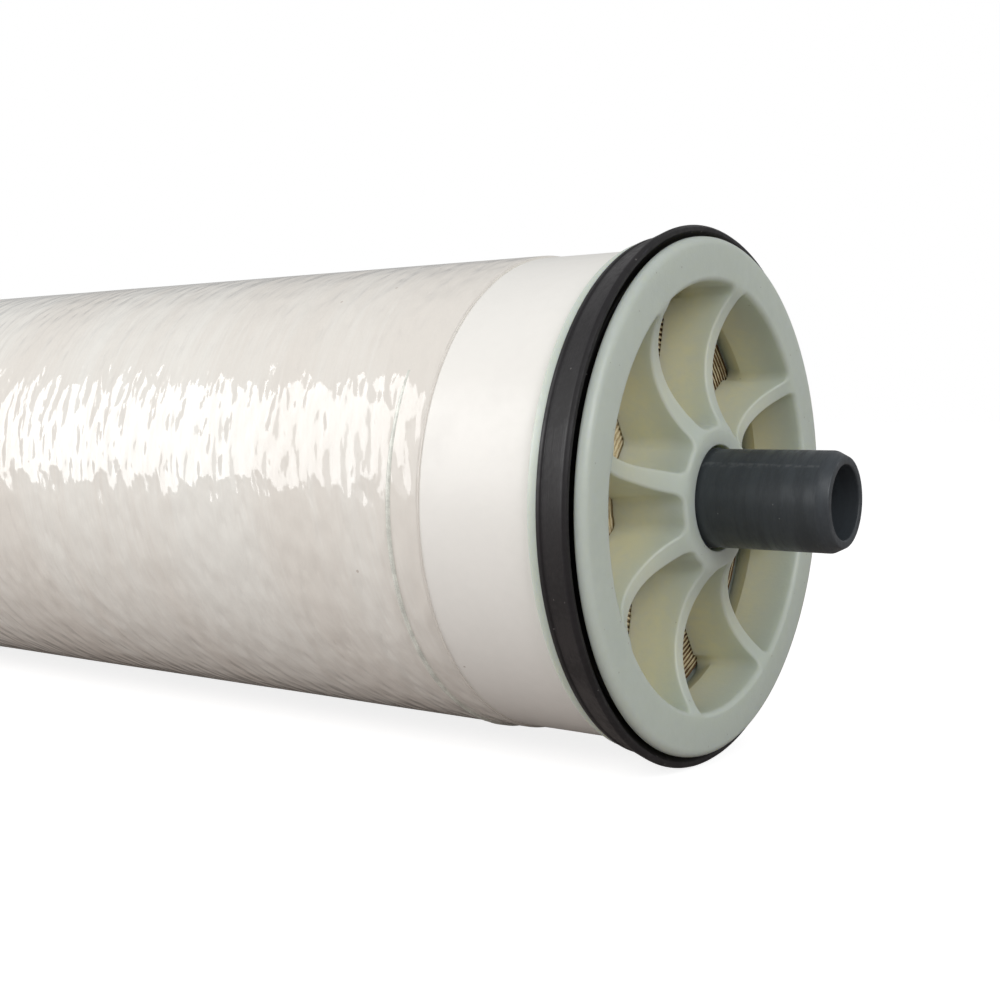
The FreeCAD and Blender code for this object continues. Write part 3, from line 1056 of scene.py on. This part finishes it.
class OBJECT_OT_element_seal(bpy.types.Operator):
    """Rubber cup in the feed cap's groove"""

    bl_idname = "element.seal"
    bl_label = "Build Brine Seal"

    def execute(self, context):
        cap = context.scene.element_cap
        back, front = SEAL_LOW[0], FACE_X - cap.front_flange - 0.15 * MM
        floor, over, lip = cap.groove_floor, FACE_RADIUS, SEAL_HIGH[2]
        outline = rounded([
            (back, floor, 0.3 * MM), (back, over - 0.05 * MM, 0.0),
            (back - 0.8 * MM, over - 0.03 * MM, 0.12 * MM),
            (back - 0.8 * MM, over + 0.5 * MM, 0.4 * MM),
            (back + 0.1 * MM, over + 0.62 * MM, 0.3 * MM),
            (back + 0.4 * MM, over + 0.42 * MM, 0.15 * MM),
            (back + 0.8 * MM, over + 0.62 * MM, 0.4 * MM),
            (front - 0.7 * MM, lip, 0.5 * MM), (front, lip - 0.5 * MM, 0.25 * MM),
            (front, lip - 1.2 * MM, 0.2 * MM),
            (back + 2.3 * MM, floor + 1.6 * MM, 0.5 * MM), (front, floor + 1.6 * MM, 0.25 * MM),
            (front, floor, 0.25 * MM),
        ], steps=4)
        bm = bmesh.new()
        turned(bm, subdivided(outline, 0.8 * MM), even_angles(256))
        finish_piece("brine_cup_seal", bm, [seal_rubber()], ["brine_seal"], sharp=60)
        return {"FINISHED"}


class OBJECT_OT_element_stage(bpy.types.Operator):
    """Pale floor, white surroundings, soft light and the camera"""

    bl_idname = "element.stage"
    bl_label = "Build Stage"

    def execute(self, context):
        scene, stage = context.scene, context.scene.element_stage
        self.floor(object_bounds()[0][2])
        self.surroundings(scene, stage)
        self.lamps(scene, stage)
        camera = bpy.data.cameras.new("camera")
        camera.lens, camera.sensor_width = stage.lens, 36.0
        camera.clip_start, camera.clip_end = 0.01, 60.0
        holder = bpy.data.objects.new("camera", camera)
        scene.collection.objects.link(holder)
        holder.location = stage.camera_place
        holder.rotation_euler = Euler(
            (math.pi / 2 - stage.camera_tilt, 0, stage.camera_turn))
        scene.camera = holder
        scene.view_settings.view_transform = "Standard"
        return {"FINISHED"}

    def floor(self, height):
        """A wide pale floor just below the lowest point, that keeps the shadow."""
        bm = bmesh.new()
        bmesh.ops.create_circle(bm, cap_ends=True, segments=96, radius=30.0)
        mesh = bpy.data.meshes.new("floor")
        bm.to_mesh(mesh)
        bm.free()
        floor = bpy.data.objects.new("floor", mesh)
        floor.location = (0, 0, height - 0.0002)
        bpy.context.scene.collection.objects.link(floor)
        floor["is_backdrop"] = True
        material = bpy.data.materials.new("pale_floor")
        material.use_nodes = True
        tree = material.node_tree
        tree.nodes.clear()
        plain = node(tree, "ShaderNodeBsdfDiffuse", {"Color": (0.42, 0.38, 0.36, 1)})
        seen = node(tree, "ShaderNodeBsdfDiffuse", {"Color": (0.55, 0.55, 0.55, 1)})
        glow = node(tree, "ShaderNodeEmission", {"Color": (1, 1, 1, 1), "Strength": 0.8})
        lit = node(tree, "ShaderNodeAddShader", {0: seen.outputs[0], 1: glow.outputs[0]})
        path = tree.nodes.new("ShaderNodeLightPath")
        both = node(tree, "ShaderNodeMixShader", {
            0: path.outputs["Is Camera Ray"], 1: plain.outputs[0], 2: lit.outputs[0]})
        out = tree.nodes.new("ShaderNodeOutputMaterial")
        tree.links.new(both.outputs[0], out.inputs["Surface"])
        mesh.materials.append(material)

    def surroundings(self, scene, stage):
        """An even world, white where it is seen."""
        world = bpy.data.worlds.new("surroundings")
        scene.world = world
        world.use_nodes = True
        tree = world.node_tree
        tree.nodes.clear()
        path = tree.nodes.new("ShaderNodeLightPath")
        light = node(tree, "ShaderNodeBackground", {"Color": (1, 1, 1, 1), "Strength": stage.ambient})
        white = node(tree, "ShaderNodeBackground", {"Color": (1, 1, 1, 1), "Strength": 1.0})
        both = node(tree, "ShaderNodeMixShader", {
            0: path.outputs["Is Camera Ray"], 1: light.outputs[0], 2: white.outputs[0]})
        out = tree.nodes.new("ShaderNodeOutputWorld")
        tree.links.new(both.outputs[0], out.inputs["Surface"])

    def lamps(self, scene, stage):
        """A softbox along the left of the element, and weaker ones in front and before the end."""
        def softbox(name, way, distance, width, height, watts, aim):
            lamp = bpy.data.lights.new(name, "AREA")
            lamp.shape, lamp.size, lamp.size_y, lamp.energy = "RECTANGLE", width, height, watts
            holder = bpy.data.objects.new(name, lamp)
            scene.collection.objects.link(holder)
            way = Vector(way).normalized()
            holder.location = Vector(aim) + way * distance
            holder.rotation_euler = way.to_track_quat("Z", "Y").to_euler()

        middle = (0.4, 0, 0)
        softbox("long_softbox", (-0.72, -0.64, 0.35), 1.5, 0.72, 1.0, stage.softbox_power, middle)
        softbox("front_softbox", (-0.18, -0.95, 0.28), 1.5, 1.1, 0.9, stage.front_power, middle)
        softbox("end_softbox", (0.80, -0.40, 0.45), 1.4, 0.9, 0.9, stage.end_power, (0.45, 0, 0))


class VIEW3D_PT_element(bpy.types.Panel):
    """Builds the element piece by piece"""

    bl_label = "Membrane Element"
    bl_idname = "VIEW3D_PT_element"
    bl_space_type = "VIEW_3D"
    bl_region_type = "UI"
    bl_category = "Membrane Element"

    def draw(self, context):
        for operator in OPERATORS:
            self.layout.operator(operator.bl_idname)
        for attribute, group in GROUPS.items():
            box = self.layout.box()
            box.label(text=group.__doc__)
            for prop in group.__annotations__:
                box.prop(getattr(context.scene, attribute), prop)


OPERATORS = (
    OBJECT_OT_element_caps,
    OBJECT_OT_element_leaves,
    OBJECT_OT_element_tube,
    OBJECT_OT_element_tapes,
    OBJECT_OT_element_shell,
    OBJECT_OT_element_seal,
    OBJECT_OT_element_stage,
)


def register():
    for group in GROUPS.values():
        bpy.utils.register_class(group)
    for attribute, group in GROUPS.items():
        setattr(bpy.types.Scene, attribute, bpy.props.PointerProperty(type=group))
    for operator in OPERATORS:
        bpy.utils.register_class(operator)
    bpy.utils.register_class(VIEW3D_PT_element)


def unregister():
    bpy.utils.unregister_class(VIEW3D_PT_element)
    for operator in reversed(OPERATORS):
        bpy.utils.unregister_class(operator)
    for attribute in GROUPS:
        delattr(bpy.types.Scene, attribute)
    for group in reversed(GROUPS.values()):
        bpy.utils.unregister_class(group)


def corners():
    """The shown object's lowest and highest corner as plain lists."""
    return [list(corner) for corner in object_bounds()]


def main():
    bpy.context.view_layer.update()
    register()
    bpy.ops.element.caps()
    bpy.ops.element.leaves()
    bpy.ops.element.tube()
    bpy.ops.element.tapes()
    bpy.ops.element.shell()
    bpy.ops.element.seal()
    bpy.ops.element.stage()


if __name__ == "__main__":
    main()
